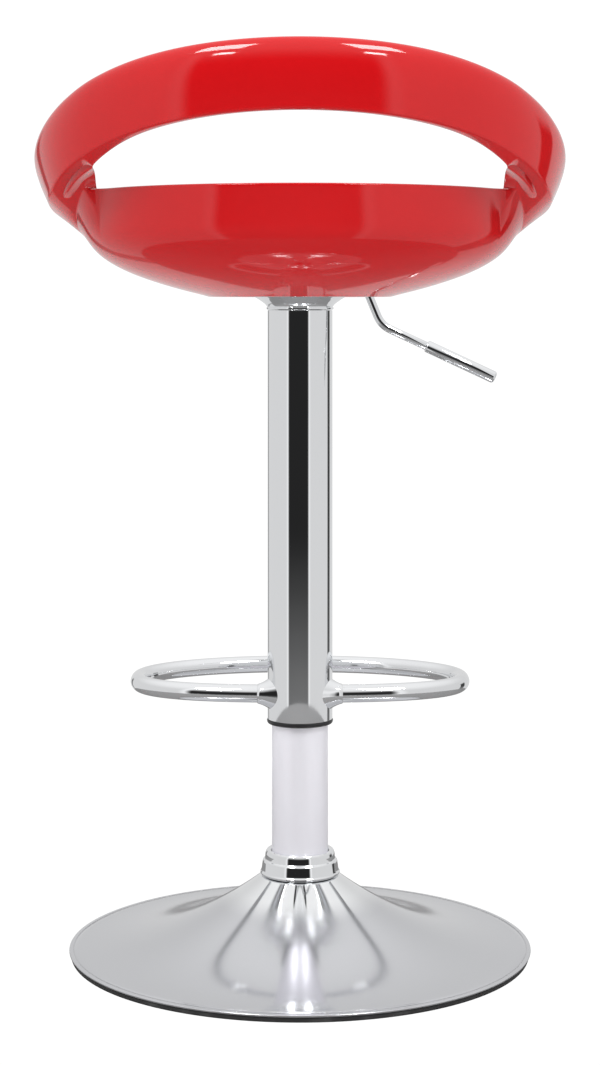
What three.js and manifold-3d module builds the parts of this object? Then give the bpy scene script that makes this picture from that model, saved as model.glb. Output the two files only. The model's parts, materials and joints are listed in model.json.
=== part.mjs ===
// Adjustable swivel stool: a moulded bucket seat with a cut-out back, carried by a telescopic
// gas-lift column with a footrest hoop, on a spun trumpet base.
// Millimetres, +Z up. The origin is on the floor at the centre of the base, and the sitter
// faces -Y, so the height lever is on the sitter's right, at -X.

import * as THREE from 'three';
import { mergeVertices } from 'three/addons/utils/BufferGeometryUtils.js';
import Module from 'manifold-3d';

const wasm = await Module();
wasm.setup();

// ---------- driving dimensions ----------

const gap = 0.3;                 // running or seating gap between neighbouring pieces
const slideRoom = 2.5;           // radial room between the stand tube and the cover tube

const stand = { radius: 25, wall: 1.5, bottomZ: 12, length: 338 };
const base = {
  radius: 205, rimHeight: 7, hubWall: 10.2, hubHeight: 68, fall: 2.1, sheet: 2,
  ringHeight: 4, ringWidth: 13, ringInset: 1.6, ballastInner: 70, ballastThickness: 6,
};
const collar = { foot: 10.6, shoulder: 8, lip: 5.8, shoulderRise: 11.7, height: 21.5 };
const cover = { wall: 1.5, bottomZ: 207, length: 364.5 };
const bell = { flare: 12, height: 11.5, sheet: 1.2 };
const glide = { lip: 4, sleeve: 18, proud: 0.5 };
const cylinder = { radius: 14, wall: 1.75, length: 423.5, taperLength: 48.5, taper: 1, crown: 24, proud: 5.5 };
const rod = { radius: 5, bottomZ: 5, length: 309 };
const bearing = { radius: 17, plate: 4, race: 2.5, ballRadius: 1.9, ballCount: 8, stopHeight: 12 };
const footrest = { tube: 8, rise: 23.3, rear: 8, halfWidth: 148, reach: 157, centreY: -68,
  squareness: 0.78, weldFlare: 9 };
const lift = { leverRise: 9.5, plateRise: 10, plateRadius: 62, plateSheet: 3, boltInset: 14 };
const housing = { setback: 16, tail: 28, width: 32, sheet: 2.5 };
const lever = { radius: 3.75, pivotX: -30, kneeInset: 6, elbowRun: 16.5, elbowDrop: 40,
  gripRun: 57, gripDrop: 58.6, tipRun: 118.3, tipDrop: 87.2, gripRadius: 5.5, bend: 9, bossRadius: 6,
  bossWidth: 25, tipWall: 3 };
const pin = { radius: 2.5, length: 38 };
const button = { radius: 4, length: 18.6, chamfer: 1, lift: 0.6 };
const bolt = { radius: 3, headRadius: 5, headHeight: 3.6, length: 16, washerRadius: 7, washer: 1.4 };
const insert = { radius: 4.2, bore: 3.3, length: 10 };
const seat = {
  halfWidth: 238, halfDepth: 198,                   // outline of the back band
  backRise: 117.5, frontDrop: 24.5,                 // top edge above and below the bowl's rim
  bandHeight: 60, bandGrowth: 10, bandThickness: 11, lipInset: 4, lipDrop: 8,
  bowlInset: 48, bowlDepthInset: 36, bowlThickness: 5, rimThickness: 8, rimInset: 1,
  sink: 25.6, creaseHeight: 51.6, rimHeight: 94.1, mouthRoom: 12,
  rimEnd: 24.2, bandEnd: 38.5,                      // angles where the cut-out stops
  creaseInset: 41, postInset: 34, armInset: 14.5, postThickness: 12, cove: 3,
};
const pan = { thickness: 4.5, gap: 1, height: 47.6, bossRadius: 9, hubRadius: 18 };

const standTop = stand.bottomZ + stand.length;
const coverRadius = stand.radius + slideRoom + cover.wall;
const coverTop = cover.bottomZ + cover.length;
const bellRadius = coverRadius + bell.flare;
const bellTop = coverTop + bell.height;
const cylinderTop = bellTop + cylinder.proud;
const leverZ = cylinderTop + lift.leverRise;
const plateZ = leverZ + lift.plateRise;
const plateTop = plateZ + lift.plateSheet;
const hubRadius = stand.radius + base.hubWall;
const footrestZ = cover.bottomZ + footrest.rise;
const seatBottom = plateZ - seat.sink;
const creaseZ = seatBottom + seat.creaseHeight;
const rimZ = seatBottom + seat.rimHeight;
const dishZ = seatBottom + pan.height;
const mouth = lift.plateRadius + seat.mouthRoom;

// ---------- solids ----------

function closed(geometry) {
  // One welded, outward-facing, position-only mesh from any closed three.js geometry.
  const bare = geometry.index ? geometry.toNonIndexed() : geometry.clone();
  for (const name of Object.keys(bare.attributes)) {
    if (name !== 'position') bare.deleteAttribute(name);
  }
  const welded = mergeVertices(bare, 1e-4);
  const p = welded.attributes.position;
  const corner = [new THREE.Vector3(), new THREE.Vector3(), new THREE.Vector3()];
  const kept = [];
  let volume = 0;
  for (let i = 0; i < welded.index.count; i += 3) {
    const tri = [0, 1, 2].map((k) => welded.index.getX(i + k));
    if (new Set(tri).size < 3) continue;
    tri.forEach((v, k) => corner[k].fromBufferAttribute(p, v));
    volume += corner[0].dot(corner[1].clone().cross(corner[2]));
    kept.push(tri);
  }
  welded.setIndex(kept.flatMap((t) => (volume < 0 ? [t[0], t[2], t[1]] : t)));
  return welded;
}

function toSolid(geometry) {
  const mesh = closed(geometry);
  return new wasm.Manifold(new wasm.Mesh({
    numProp: 3,
    vertProperties: new Float32Array(mesh.attributes.position.array),
    triVerts: new Uint32Array(mesh.index.array),
  }));
}

function toGeometry(solid) {
  const mesh = solid.getMesh();
  const geometry = new THREE.BufferGeometry();
  geometry.setAttribute('position', new THREE.BufferAttribute(mesh.vertProperties, 3));
  geometry.setIndex(new THREE.BufferAttribute(mesh.triVerts, 1));
  return geometry;
}

function cut(body, ...tools) {
  return toGeometry(tools.reduce((left, tool) => left.subtract(toSolid(tool)), toSolid(body)));
}

function join(body, ...others) {
  return toGeometry(others.reduce((sum, other) => sum.add(toSolid(other)), toSolid(body)));
}

function turned(profile, segments = 32) {
  // A turned piece about Z from a profile of [radius, z] points, from axis to axis.
  const points = profile.map(([r, z]) => new THREE.Vector2(r, z));
  return new THREE.LatheGeometry(points, segments).rotateX(Math.PI / 2);
}

function ring(profile, segments = 32) {
  // A turned piece about Z whose profile goes round and closes on itself.
  return turned([...profile, profile[0]], segments);
}

function tube(inner, outer, bottom, top, segments = 32) {
  return ring([[inner, bottom], [outer, bottom], [outer, top], [inner, top]], segments);
}

function disc(radius, bottom, top, segments = 32) {
  return turned([[0, bottom], [radius, bottom], [radius, top], [0, top]], segments);
}

function along(path, radius, steps, sides = 12) {
  // A round bar swept along a path.
  const section = new THREE.Shape();
  for (let i = 0; i < sides; i += 1) {
    const angle = (i / sides) * 2 * Math.PI;
    section[i ? 'lineTo' : 'moveTo'](radius * Math.cos(angle), radius * Math.sin(angle));
  }
  section.closePath();
  return new THREE.ExtrudeGeometry(section, { steps, extrudePath: path, bevelEnabled: false });
}

function filleted(points, radius) {
  // A path of straight runs through the points, its corners eased by short curves.
  const path = new THREE.CurvePath();
  let start = points[0];
  for (let i = 1; i < points.length - 1; i += 1) {
    const corner = points[i];
    const before = corner.clone().lerp(points[i - 1], radius / corner.distanceTo(points[i - 1]));
    const after = corner.clone().lerp(points[i + 1], radius / corner.distanceTo(points[i + 1]));
    path.add(new THREE.LineCurve3(start, before));
    path.add(new THREE.QuadraticBezierCurve3(before, corner, after));
    start = after;
  }
  path.add(new THREE.LineCurve3(start, points[points.length - 1]));
  return path;
}

// ---------- materials ----------

const finish = (color, roughness, metalness) => ({ color, roughness, metalness });
const chrome = finish(0xd8dade, 0.08, 1);
const satin = finish(0xcfd0dc, 0.3, 0.9);
const steel = finish(0x8d9094, 0.4, 0.9);
const zinc = finish(0xb9bcb8, 0.35, 0.9);
const blackSteel = finish(0x26272a, 0.45, 0.6);
const brass = finish(0xb08d3f, 0.35, 0.9);
const castIron = finish(0x3d3f42, 0.7, 0.5);
const rubber = finish(0x232425, 0.8, 0);
const plastic = finish(0x17181a, 0.35, 0);
const redAbs = finish(0xcb1518, 0.12, 0);

const stool = new THREE.Group();

function place(parent, name, geometry, look) {
  const mesh = new THREE.Mesh(closed(geometry), new THREE.MeshStandardMaterial(look));
  mesh.name = name;
  parent.add(mesh);
  return mesh;
}

// ---------- base ----------

function trumpetZ(radius) {
  // Height of the base's upper face: steep at the hub and nearly flat at the rim.
  const share = (radius - hubRadius) / (base.radius - hubRadius);
  return base.rimHeight + (base.hubHeight - base.rimHeight) * (1 - share) ** base.fall;
}

function trumpetPoints(from, to, count, drop) {
  return Array.from({ length: count + 1 }, (_, i) => {
    const radius = from + (to - from) * (i / count) ** 1.4;
    return [radius, trumpetZ(radius) - drop];
  });
}

function baseCover() {
  // Spun sheet with a rolled rim; its neck is hidden inside the collar.
  const edge = base.radius;
  const neck = stand.radius + gap;
  const upper = trumpetPoints(hubRadius, edge - 3, 8, 0).reverse();
  const lower = trumpetPoints(hubRadius, edge - base.sheet - 3, 5, base.sheet);
  return ring([
    [edge - base.sheet - 1, base.ringHeight + gap], [edge - 0.8, base.ringHeight + gap],
    [edge, base.ringHeight + 1.3], [edge - 0.6, base.rimHeight - 0.5],
    ...upper,
    [neck + 5, base.hubHeight + 1], [neck, base.hubHeight + 1], [neck, base.hubHeight - 1],
    ...lower,
  ], 48);
}

function baseGroup() {
  const group = new THREE.Group();
  const outer = base.radius - base.ringInset;
  const inner = outer - base.ringWidth;
  place(group, 'base_cover', baseCover(), chrome);
  place(group, 'floor_ring', ring([
    [inner, 0], [outer, 0], [outer, base.ringHeight], [inner, base.ringHeight],
  ], 48), rubber);

  const ballastOuter = inner - 4;
  const ballastTop = trumpetPoints(base.ballastInner, ballastOuter, 3, base.sheet + 1.2);
  const ballastFoot = base.ringHeight - 1.5;
  const limit = ballastFoot + base.ballastThickness;
  place(group, 'ballast_disc', ring([
    [base.ballastInner, ballastFoot], [ballastOuter, ballastFoot],
    ...ballastTop.reverse().map(([r, z]) => [r, Math.min(z, limit)]),
  ], 32), castIron);

  const hubInner = stand.radius + gap;
  place(group, 'hub_socket', ring([
    [hubInner, stand.bottomZ], [hubInner + 3, stand.bottomZ],
    [hubInner + 2.2, base.hubHeight - 1.6], [hubInner, base.hubHeight - 1.6],
  ], 28), steel);
  place(group, 'hub_flange', ring([
    [hubInner + 3.4, stand.bottomZ], [base.ballastInner + 22, stand.bottomZ],
    [base.ballastInner + 22, stand.bottomZ + 3], [hubInner + 3.4, stand.bottomZ + 3],
  ], 28), steel);
  const tubeRadius = stand.radius;
  const foot = base.hubHeight + 1 + gap;
  const shoulderZ = foot + collar.shoulderRise;
  const top = foot + collar.height;
  place(group, 'base_collar', ring([
    [tubeRadius + gap, foot], [tubeRadius + collar.foot, foot],
    [tubeRadius + collar.foot, foot + 1.4], [tubeRadius + collar.shoulder, shoulderZ],
    [tubeRadius + collar.lip + 1, shoulderZ + 2.2], [tubeRadius + collar.lip, top - 2],
    [tubeRadius + collar.lip - 1.6, top], [tubeRadius + 1.4, top], [tubeRadius + gap, top - 1.4],
  ], 36), chrome);

  place(group, 'stand_tube',
    tube(stand.radius - stand.wall, stand.radius, stand.bottomZ, standTop, 36), satin);
  const bore = stand.radius - stand.wall - gap;
  const slide = cylinder.radius + gap;
  place(group, 'guide_bush', ring([
    [slide, standTop - 88], [bore, standTop - 88], [bore, standTop + gap],
    [stand.radius, standTop + gap], [stand.radius, standTop + 3], [slide, standTop + 3],
  ], 24), plastic);

  const floorZ = stand.bottomZ + bearing.plate;
  place(group, 'bearing_plate', tube(rod.radius + 1, bore, stand.bottomZ, floorZ, 24), steel);
  place(group, 'lower_race',
    tube(rod.radius + 1, bearing.radius, floorZ + gap, floorZ + gap + bearing.race, 20), steel);
  return group;
}

// ---------- piston spindle: stands on the thrust bearing and turns with the seat ----------

function ballCage(bottom) {
  // Thin cage joined to its ring of balls.
  const pitch = (bearing.radius + rod.radius) / 2;
  const middle = bottom + bearing.ballRadius;
  const cage = tube(rod.radius + 1.5, bearing.radius - 0.5, middle - 0.6, middle + 0.6, 20);
  const balls = Array.from({ length: bearing.ballCount }, (_, i) => {
    const angle = (i / bearing.ballCount) * 2 * Math.PI;
    const ball = new THREE.SphereGeometry(bearing.ballRadius, 6, 4);
    return ball.translate(pitch * Math.cos(angle), pitch * Math.sin(angle), middle);
  });
  return join(cage, ...balls);
}

function spindleGroup() {
  const group = new THREE.Group();
  const cageZ = stand.bottomZ + bearing.plate + gap + bearing.race + gap;
  const rodTop = rod.bottomZ + rod.length;
  const raceZ = cageZ + 2 * bearing.ballRadius + gap;
  const stopZ = raceZ + bearing.race + gap;
  const pistonRadius = cylinder.radius - cylinder.wall - gap;
  const neck = rod.radius + gap;
  place(group, 'ball_cage', ballCage(cageZ), steel);
  place(group, 'upper_race', tube(neck, bearing.radius, raceZ, raceZ + bearing.race, 24), steel);
  place(group, 'bump_stop', ring([
    [neck, stopZ], [bearing.radius - 3, stopZ], [bearing.radius - 5, stopZ + bearing.stopHeight],
    [neck, stopZ + bearing.stopHeight],
  ], 24), rubber);
  place(group, 'piston_rod', disc(rod.radius, rod.bottomZ, rodTop, 20), chrome);
  place(group, 'piston_head', tube(neck, pistonRadius, rodTop - 14, rodTop - 4, 24), plastic);
  place(group, 'rod_washer',
    tube(neck, rod.radius + 5, stand.bottomZ - gap - 2, stand.bottomZ - gap, 24), zinc);
  place(group, 'rod_clip',
    tube(neck, rod.radius + 3, stand.bottomZ - 2 * gap - 3.6, stand.bottomZ - 2 * gap - 2, 20), zinc);
  return group;
}

// ---------- lift column ----------

function cylinderBody() {
  const { radius, wall, taper, crown } = cylinder;
  const topZ = cylinderTop;
  const bottomZ = topZ - cylinder.length;
  const taperZ = topZ - cylinder.taperLength;
  const bore = radius - wall;
  const stem = button.radius + gap;
  return ring([
    [bore, bottomZ], [radius, bottomZ], [radius, taperZ], [radius - taper, topZ - 1],
    [radius - taper - 1, topZ], [stem, topZ], [stem, topZ - crown], [bore, topZ - crown - 3],
  ], 32);
}

function topBell() {
  // Flared sleeve between the cover tube and the head plate, with a small bead at its foot.
  const z = coverTop + gap;
  const r = coverRadius;
  const outer = [
    [r - 0.2, z], [r + 0.9, z + 0.8], [r + 0.5, z + 2], [r + 1.6, z + 4],
    [r + 5, z + 7.4], [bellRadius - 2.4, z + 10.2], [bellRadius, bellTop + gap],
  ];
  const inner = outer.slice(1).map(([x, y]) => [x - bell.sheet, y + bell.sheet * 0.4]).reverse();
  inner[0] = [bellRadius - 3.2, bellTop + gap];
  return ring([...outer, ...inner, [r - 1.2, z]], 36);
}

class FootrestHoop extends THREE.Curve {
  // Half-moon hoop: an ellipse in front, squarer and shallower behind the column's centre line.
  getPoint(t, target = new THREE.Vector3()) {
    const start = Math.PI / 2;
    const angle = start + t * 2 * Math.PI;
    const c = Math.cos(angle);
    const s = Math.sin(angle);
    const rearDepth = footrest.rear - footrest.centreY;
    const frontDepth = footrest.reach + footrest.centreY;
    const squareness = s > 0 ? footrest.squareness : 1;
    const x = footrest.halfWidth * Math.sign(c) * Math.abs(c) ** squareness;
    const depth = s > 0 ? rearDepth : frontDepth;
    const y = footrest.centreY + depth * Math.sign(s) * Math.abs(s) ** squareness;
    return target.set(x, y, footrestZ);
  }
}

function columnBarrel(clearance, bottom, top) {
  return disc(coverRadius + clearance, bottom, top, 36);
}

function hoopBar(clearance) {
  return along(new FootrestHoop(), footrest.tube + clearance, 56, 8);
}

function footrestHoop() {
  const room = 3 * footrest.tube;
  return cut(hoopBar(0), columnBarrel(gap, footrestZ - room, footrestZ + room));
}

function weldFlare(side) {
  // Cone of weld and pressed lip that carries one end of the hoop on the cover tube.
  const start = coverRadius * 0.6;
  const end = coverRadius + footrest.weldFlare;
  const bar = footrest.tube;
  const flare = turned([
    [0, start], [bar + 5.5, start], [bar + 5.5, coverRadius - 2],
    [bar + 2.9, coverRadius + footrest.weldFlare * 0.4], [bar + 1.5, end], [0, end],
  ], 20);
  flare.rotateY(side * Math.PI / 2);
  flare.translate(0, footrest.rear, footrestZ);
  const room = 4 * footrest.tube;
  return cut(flare, columnBarrel(gap, footrestZ - room, footrestZ + room), hoopBar(gap));
}

function crossBar(radius, length) {
  // A bar along Y through the lever's pivot.
  return new THREE.CylinderGeometry(radius, radius, length, 16).translate(lever.pivotX, 0, leverZ);
}

function leverHousing() {
  // Folded channel between the head plate and the seat plate, open towards the lever.
  const bottom = cylinderTop + gap;
  const top = plateZ - gap;
  const height = top - bottom;
  const { width, sheet, tail, setback } = housing;
  const reach = lift.plateRadius - setback;
  const length = tail + reach;
  const centreX = (tail - reach) / 2;
  const outer = new THREE.BoxGeometry(length, width, height);
  outer.translate(centreX, 0, (top + bottom) / 2);
  const inside = new THREE.BoxGeometry(length, width - 2 * sheet, height + 2);
  inside.translate(centreX - sheet, 0, (top + bottom) / 2);
  return cut(outer, inside, crossBar(pin.radius + gap, 2 * width));
}

function seatPlate() {
  // Pressed disc with a turned-down edge and four bolt holes.
  const { plateRadius, plateSheet } = lift;
  const top = plateTop;
  const blank = turned([
    [0, plateZ], [plateRadius - plateSheet - 1, plateZ], [plateRadius - plateSheet, plateZ - 3],
    [plateRadius, plateZ - 3], [plateRadius, top - 1.5], [plateRadius - 1.5, top], [0, top],
  ], 32);
  return cut(blank, ...boltPlaces().map(([x, y]) => disc(bolt.radius + 0.4, plateZ - 9, top + 9, 12)
    .translate(x, y, 0)));
}

function boltPlaces() {
  const offset = (lift.plateRadius - lift.boltInset) / Math.SQRT2;
  return [[1, 1], [-1, 1], [-1, -1], [1, -1]].map(([sx, sy]) => [sx * offset, sy * offset]);
}

function columnGroup() {
  const group = new THREE.Group();
  const inner = coverRadius - cover.wall;
  const run = stand.radius + 0.4;
  const bore = cylinder.radius - cylinder.wall - gap;
  const socketTop = bellTop;
  const socketFoot = cylinderTop - cylinder.taperLength + 6;
  const guideZ = cylinderTop - cylinder.length;
  place(group, 'pressure_cylinder', cylinderBody(), blackSteel);
  place(group, 'rod_guide',
    tube(rod.radius + gap, bore, guideZ, guideZ + 16, 24), plastic);
  place(group, 'cover_tube', tube(inner, coverRadius, cover.bottomZ, coverTop, 36), chrome);
  place(group, 'glide_ring', ring([
    [run, cover.bottomZ - glide.lip], [coverRadius + glide.proud, cover.bottomZ - glide.lip],
    [coverRadius + glide.proud, cover.bottomZ - gap], [inner - gap, cover.bottomZ - gap],
    [inner - gap, cover.bottomZ + glide.sleeve], [run, cover.bottomZ + glide.sleeve],
  ], 36), plastic);
  place(group, 'top_bell', topBell(), chrome);
  const socketBore = cylinder.radius + gap;
  place(group, 'taper_socket', ring([
    [socketBore, socketFoot], [socketBore + 5, socketFoot],
    [socketBore + 5, socketTop - gap], [socketBore - cylinder.taper, socketTop - gap],
  ], 28), steel);
  place(group, 'head_plate',
    tube(socketBore, bellRadius + 1, socketTop + 2 * gap, cylinderTop - gap, 28), steel);
  place(group, 'footrest_hoop', footrestHoop(), chrome);
  for (const [name, side] of [['footrest_weld_left', 1], ['footrest_weld_right', -1]]) {
    place(group, name, weldFlare(side), chrome);
  }
  place(group, 'lever_housing', leverHousing(), steel);
  place(group, 'seat_plate', seatPlate(), blackSteel);
  place(group, 'lever_pin', crossBar(pin.radius, pin.length), zinc);
  return group;
}

// ---------- seat mouldings ----------

const { smoothstep, lerp, clamp, degToRad, radToDeg } = THREE.MathUtils;

const rimRow = 9;                // the bowl's rear rim, below the opening
const bandRow = 11;              // the band's lower edge, above the opening
const panRow = 7;                // where the pan's edge meets the shell

function crestZ(rear) {
  // Height of the seat's top edge; rear runs from -1 at the front to 1 at the back.
  const share = (1 + rear) / 2;
  return lerp(rimZ - seat.frontDrop, rimZ + seat.backRise, 2.05 * share ** 2 - 1.05 * share ** 3);
}

function fromSide(angle) {
  // Degrees behind the side of the seat: 0 at the side, 90 at the back, -90 at the front.
  return radToDeg(Math.asin(clamp(Math.sin(angle), -1, 1)));
}

function bandAngle(angle) {
  // The band meets the arms farther back than the rim does, so its points lie farther round.
  const side = fromSide(angle);
  const { rimEnd, bandEnd } = seat;
  const share = side > rimEnd ? (90 - side) / (90 - rimEnd) : clamp((side + 16) / (rimEnd + 16), 0, 1);
  return angle + Math.sign(Math.cos(angle)) * degToRad(share * (bandEnd - rimEnd));
}

function armClimb(side) {
  // How far the crease under an arm has climbed towards the rim, from 0 to 1.
  return clamp((side + 4) / (seat.rimEnd + 4), 0, 1) ** 1.35;
}

function onOutline(inset, depthInset, z, angle) {
  return new THREE.Vector3(
    (seat.halfWidth - inset) * Math.cos(angle), (seat.halfDepth - depthInset) * Math.sin(angle), z);
}

function bowlRows(angle) {
  // The bowl's skin from its rolled mouth up to the crease, as shares of its width and height.
  const sweep = [[0, 0.074], [0.035, 0], [0.134, 0.062], [0.33, 0.167], [0.63, 0.38],
    [0.822, 0.594], [0.933, 0.787], [1, 1]];
  const insetAtMouth = seat.halfWidth - mouth;
  const depthInsetAtMouth = seat.halfDepth - mouth;
  return sweep.map(([out, up]) => onOutline(
    lerp(insetAtMouth, seat.bowlInset, out), lerp(depthInsetAtMouth, seat.bowlDepthInset, out),
    lerp(seatBottom, creaseZ, up), angle));
}

function skinRows(angle) {
  // The outer skin at one angle round the seat, from the mouth below to the top edge: the bowl,
  // its rim or crease, the arm's underside and the band.
  const { rimEnd, lipInset, armInset, creaseInset, postInset, bowlInset } = seat;
  const upper = bandAngle(angle);
  const side = fromSide(angle);
  const crest = crestZ(Math.sin(upper));
  const rise = (share, top) => lerp(creaseZ, top, share);
  const bandHeight = seat.bandHeight + seat.bandGrowth * (1 - Math.sin(upper));
  const lowZ = crest - bandHeight;
  const cutOut = smoothstep(fromSide(upper), 2, 34);
  const flank = (inset, share) => onOutline(inset, 0.65 * inset, rise(share, crest), upper);
  const band = (inset, share) => onOutline(inset, inset, lowZ + share * bandHeight, upper);
  const mixed = (joined, free) => joined.lerp(free, cutOut);

  const bowl = bowlRows(angle);
  const climb = armClimb(side);
  const inset = lerp(creaseInset, postInset, climb);
  const rim = onOutline(bowlInset + seat.rimInset, bowlInset - 20, rimZ, angle);
  const edge = side > rimEnd + 0.1
    ? rim
    : onOutline(inset, 0.65 * inset, lerp(rise(0.08, crestZ(Math.sin(angle))), rimZ, climb), angle);
  const lip = mixed(flank(armInset, 0.4), band(lipInset, 0));
  const belowEdge = bowl[panRow].clone().lerp(edge.clone().lerp(rim, 0.8 * climb ** 6), 0.5);
  const underArm = edge.clone().lerp(lip, 0.5);
  underArm.z += seat.cove * cutOut;
  return [
    ...bowl, belowEdge, edge, underArm, lip,
    mixed(flank(6.5, 0.64), band(1.5, 0.3)),
    mixed(flank(1.5, 0.84), band(0, 0.58)),
    mixed(flank(1.2, 0.92), band(1.3, 0.8)),
    mixed(flank(3, 0.97), band(4, 0.93)),
    mixed(flank(6, 1), band(8.5, 1)),
  ];
}

function wallRows(angle) {
  // How far the inner face lies inside each row of the skin above the pan, towards the axis.
  const side = fromSide(angle);
  const cutOut = smoothstep(fromSide(bandAngle(angle)), 2, 34);
  const { bandThickness: band, rimThickness: rim, postThickness: post } = seat;
  const edge = side > seat.rimEnd + 0.1 ? rim : lerp(rim, post, armClimb(side));
  return [rim - 1, edge, post, band + 0.5, band + 0.5, band, lerp(10, 9.7, cutOut),
    lerp(8, 6.8, cutOut), lerp(5, 4.5, cutOut)];
}

function lipDrop(angle) {
  // The inner lower edge of the band hangs below the outer one where the band joins an arm.
  const side = fromSide(bandAngle(angle));
  return seat.lipDrop * (side > seat.bandEnd
    ? clamp((62 - side) / (62 - seat.bandEnd), 0, 1) ** 3
    : clamp((side - 10) / (seat.bandEnd - 10), 0, 1));
}

function columnAngles() {
  // Angles round the seat; the cut-out reaches from the first to the one that follows the last
  // of the rear ones.
  const rearCount = 22;
  const frontCount = 34;
  const start = degToRad(seat.rimEnd);
  const support = degToRad(1.4);
  const rearSpan = Math.PI - 2 * (start + support);
  const frontSpan = Math.PI + 2 * start;
  const rear = Array.from({ length: rearCount - 1 },
    (_, i) => start + support + (rearSpan * i) / (rearCount - 2));
  const front = Array.from({ length: frontCount },
    (_, i) => Math.PI - start + (frontSpan * i) / frontCount);
  return { angles: [start, ...rear, ...front], rearCount };
}

function skinNormal(angle, row) {
  const step = 0.02;
  const round = skinRows(angle + step)[row].sub(skinRows(angle - step)[row]);
  const rows = skinRows(angle);
  const up = rows[row + 1].clone().sub(rows[Math.max(row - 1, 0)]);
  return round.cross(up).normalize();
}

function innerRows(angle) {
  // The inner face: square to the skin in the bowl, and level with it above the pan.
  const walls = wallRows(angle);
  return skinRows(angle).map((point, row) => {
    if (row <= panRow) {
      return point.addScaledVector(skinNormal(angle, row), -seat.bowlThickness);
    }
    const reach = 1 - walls[row - panRow - 1] / Math.hypot(point.x, point.y);
    const drop = row === bandRow ? lipDrop(angle) : 0;
    return new THREE.Vector3(point.x * reach, point.y * reach, point.z - drop);
  });
}

function thickenedGrid(outer, inner, isOpen) {
  // A closed wall between two grids of points that close round on themselves; the edge of every
  // missing cell, and the first and last rows, are walled across.
  const columns = outer.length;
  const rows = outer[0].length;
  const positions = [...outer, ...inner].flat().flatMap((v) => [v.x, v.y, v.z]);
  const at = (side, i, j) => (side * columns + ((i + columns) % columns)) * rows + j;
  const index = [];
  const quad = (a, b, c, d) => index.push(a, b, c, a, c, d);
  const open = (i, j) => j < 0 || j >= rows - 1 || isOpen((i + columns) % columns, j);
  for (let i = 0; i < columns; i += 1) {
    for (let j = 0; j < rows - 1; j += 1) {
      if (open(i, j)) continue;
      quad(at(0, i, j), at(0, i + 1, j), at(0, i + 1, j + 1), at(0, i, j + 1));
      quad(at(1, i, j), at(1, i, j + 1), at(1, i + 1, j + 1), at(1, i + 1, j));
      if (open(i, j - 1)) quad(at(0, i, j), at(1, i, j), at(1, i + 1, j), at(0, i + 1, j));
      if (open(i, j + 1)) {
        quad(at(0, i, j + 1), at(0, i + 1, j + 1), at(1, i + 1, j + 1), at(1, i, j + 1));
      }
      if (open(i - 1, j)) quad(at(0, i, j), at(0, i, j + 1), at(1, i, j + 1), at(1, i, j));
      if (open(i + 1, j)) {
        quad(at(0, i + 1, j), at(1, i + 1, j), at(1, i + 1, j + 1), at(0, i + 1, j + 1));
      }
    }
  }
  const geometry = new THREE.BufferGeometry();
  geometry.setAttribute('position', new THREE.Float32BufferAttribute(positions, 3));
  geometry.setIndex(index);
  return geometry;
}

function seatShell() {
  const { angles, rearCount } = columnAngles();
  return thickenedGrid(angles.map(skinRows), angles.map(innerRows),
    (i, j) => i < rearCount && j >= rimRow && j < bandRow);
}

function panPoint(edge, share) {
  // The sitting face: level at the centre, rising to the shell's inner wall at share 1.
  const reach = 1 - pan.gap / Math.hypot(edge.x, edge.y);
  const edgeZ = edge.z + pan.thickness + pan.gap;
  return new THREE.Vector3(edge.x * reach * share, edge.y * reach * share,
    lerp(dishZ, edgeZ, share ** 3));
}

function seatPan() {
  const shares = [0.06, 0.5, 0.8, 1];
  const { angles } = columnAngles();
  const drop = new THREE.Vector3(0, 0, pan.thickness);
  const edges = angles.map((angle) => innerRows(angle)[panRow]);
  const top = edges.map((edge) => shares.map((share) => panPoint(edge, share)));
  const under = top.map((row) => row.map((point) => point.clone().sub(drop)));
  const hub = disc(pan.hubRadius, dishZ - pan.thickness, dishZ, 24);
  const skin = thickenedGrid(under, top, () => false);
  const foot = plateTop + gap;
  const bosses = boltPlaces().map(([x, y]) => disc(pan.bossRadius, foot, dishZ - 1.5, 14)
    .translate(x, y, 0));
  const holes = boltPlaces().map(([x, y]) => disc(insert.radius + gap, foot - 1,
    foot + insert.length + 2, 12).translate(x, y, 0));
  return cut(join(skin, hub, ...bosses), ...holes);
}

function seatBolt() {
  // Hexagon-headed bolt: head, then shank, pointing up.
  const top = plateZ - bolt.washer - 2 * gap;
  const head = new THREE.CylinderGeometry(bolt.headRadius, bolt.headRadius, bolt.headHeight, 6);
  head.rotateX(Math.PI / 2).translate(0, 0, top - bolt.headHeight / 2);
  return join(head, disc(bolt.radius, top - 1, top + bolt.length, 12));
}

function seatGroup() {
  const group = new THREE.Group();
  place(group, 'seat_shell', seatShell(), redAbs);
  place(group, 'seat_pan', seatPan(), redAbs);
  const names = ['rear_left', 'rear_right', 'front_right', 'front_left'];
  const foot = plateTop + gap;
  boltPlaces().forEach(([x, y], i) => {
    const set = new THREE.Group();
    set.position.set(x, y, 0);
    place(set, `seat_bolt_${names[i]}`, seatBolt(), zinc);
    place(set, `washer_${names[i]}`, tube(bolt.radius + gap, bolt.washerRadius,
      plateZ - gap - bolt.washer, plateZ - gap, 12), zinc);
    place(set, `insert_${names[i]}`, tube(insert.bore, insert.radius,
      foot + 0.5, foot + 0.5 + insert.length, 12), brass);
    group.add(set);
  });
  return group;
}

// ---------- lever and valve button ----------

const knee = new THREE.Vector3(lever.kneeInset - lift.plateRadius, 0, leverZ);

function fromKnee(run, drop) {
  return new THREE.Vector3(knee.x - run, 0, knee.z - drop);
}

const elbow = fromKnee(lever.elbowRun, lever.elbowDrop);
const gripStart = fromKnee(lever.gripRun, lever.gripDrop);
const gripTip = fromKnee(lever.tipRun, lever.tipDrop);

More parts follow.
